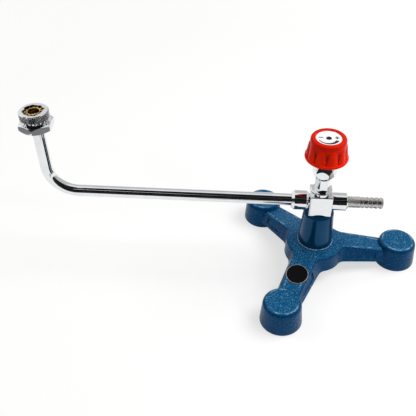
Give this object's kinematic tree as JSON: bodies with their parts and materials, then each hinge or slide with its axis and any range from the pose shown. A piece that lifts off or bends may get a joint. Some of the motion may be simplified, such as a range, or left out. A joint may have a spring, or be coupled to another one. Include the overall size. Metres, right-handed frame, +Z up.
{
  "type": "bunsen burner",
  "caption": "Bench bunsen burner: cast tripod base with post, needle valve with fluted knob, ribbed hose tail and a long cranked gas arm that tilts, with a burner head and a turning air collar.",
  "frame": {"origin": "on the bench, on the axis of the upright post", "axes": "+Z up along the post, +X along the gas axis towards the hose tail, -X towards the burner head"},
  "size_m": [0.3348, 0.164, 0.1514],
  "materials": {
    "blue_paint": "blue hammer-effect paint on cast iron",
    "blue_gloss": "smooth glossy blue paint on turned steel",
    "chrome": "bright chrome plate on brass",
    "brass": "turned brass",
    "zinc_steel": "zinc-plated steel",
    "red_plastic": "glossy red moulded plastic",
    "white_dial": "white plastic disc",
    "black_screw": "blackened steel",
    "black_label": "black disc with thin silver rim",
    "seal_rubber": "black seal rubber",
    "white_packing": "white sealing plastic"
  },
  "bodies": {
    "base": {"base_casting": "blue_paint", "post": "blue_gloss", "bolt_washer": "zinc_steel", "tie_bolt": "zinc_steel", "badge_disc": "black_label", "valve_body": "chrome", "inlet_washer": "seal_rubber", "hose_collar": "chrome", "hose_tail": "chrome", "bonnet_seal": "seal_rubber", "bonnet": "chrome", "gland_packing": "white_packing", "gland_follower": "brass", "gland_nut": "chrome", "outlet_nipple": "chrome", "swivel_washer": "white_packing", "union_nut": "chrome"},
    "stem_seal": {"stem_o_ring": "seal_rubber"},
    "knob": {"spindle": "brass", "knob": "red_plastic", "dial_disc": "white_dial", "knob_screw": "black_screw"},
    "arm": {"pipe_ferrule": "brass", "ferrule_o_ring": "seal_rubber", "gas_pipe": "chrome", "burner_socket": "chrome", "jet": "brass", "burner_body": "chrome", "collar_circlip": "zinc_steel", "flame_retainer": "brass"},
    "air_collar": {"air_collar": "chrome"}
  },
  "joints": [
    {"name": "stem_rise", "type": "slide", "parent": "base", "child": "stem_seal", "axis": [0, 0, 1], "range_m": [0, 0.0015]},
    {"name": "knob_turn", "type": "hinge", "parent": "stem_seal", "child": "knob", "pos_m": [0, 0, 0.1265], "axis": [0, 0, 1], "range_deg": [0, 540]},
    {"name": "arm_tilt", "type": "hinge", "parent": "base", "child": "arm", "pos_m": [-0.017, 0, 0.0725], "axis": [1, 0, 0], "range_deg": [-135, 135]},
    {"name": "air_collar_turn", "type": "hinge", "parent": "arm", "child": "air_collar", "pos_m": [-0.2298, 0, 0.1465], "axis": [0, 0, 1], "continuous": true}
  ],
  "couplings": [
    {"joint": "knob_turn", "follows": "stem_rise", "rad_per_m": 6283.2}
  ]
}
